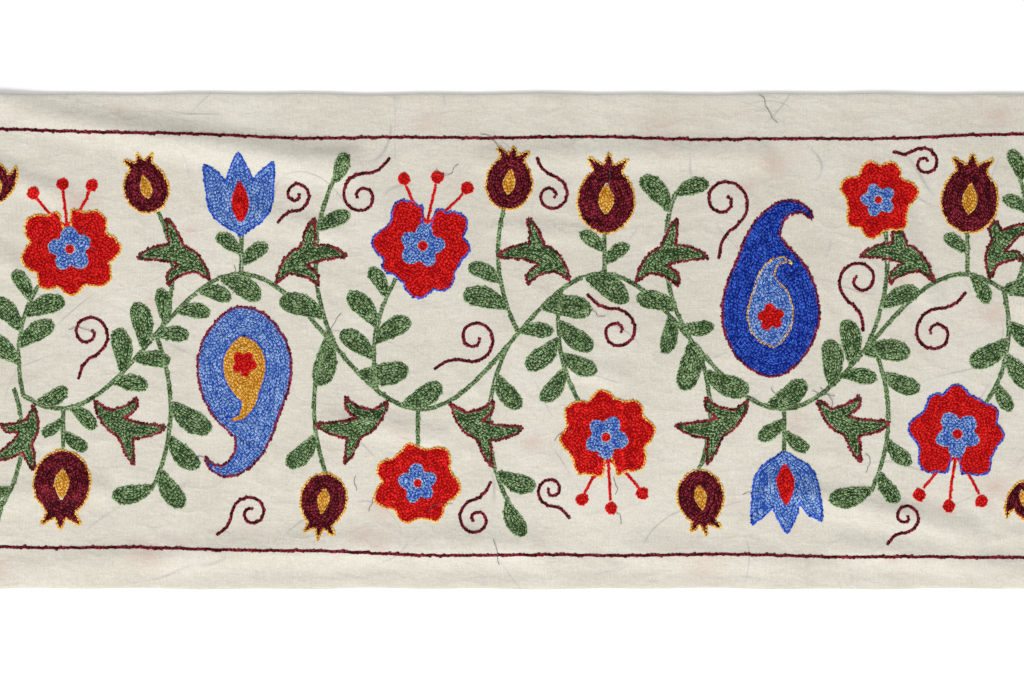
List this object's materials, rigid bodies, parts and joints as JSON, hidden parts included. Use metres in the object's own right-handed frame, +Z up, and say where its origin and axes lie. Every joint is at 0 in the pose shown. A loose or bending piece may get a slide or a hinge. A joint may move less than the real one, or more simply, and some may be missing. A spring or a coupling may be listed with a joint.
{
  "type": "suzani embroidered textile panel",
  "caption": "Long off-white cotton panel with hemmed edges, lying flat with low soft creases, its face worked all over in chain stitch.",
  "frame": {"origin": "under the middle of the cloth, on the surface that it lies on", "axes": "+X along the cloth's length, +Y across it towards the upper edge of the embroidery, +Z up out of the embroidered face"},
  "size_m": [0.7, 0.3, 0.0054],
  "materials": {
    "cotton": "matt unbleached plain-weave cotton with faint slubs",
    "red_thread": "soft silk-like embroidery thread, slight sheen",
    "maroon_thread": "soft silk-like embroidery thread, slight sheen",
    "green_thread": "two-tone embroidery thread, slight sheen",
    "sky_blue_thread": "two-tone embroidery thread, slight sheen",
    "royal_blue_thread": "soft silk-like embroidery thread, slight sheen",
    "gold_thread": "soft silk-like embroidery thread, slight sheen"
  },
  "bodies": {
    "root": {"cloth": "cotton"}
  },
  "joints": []
}
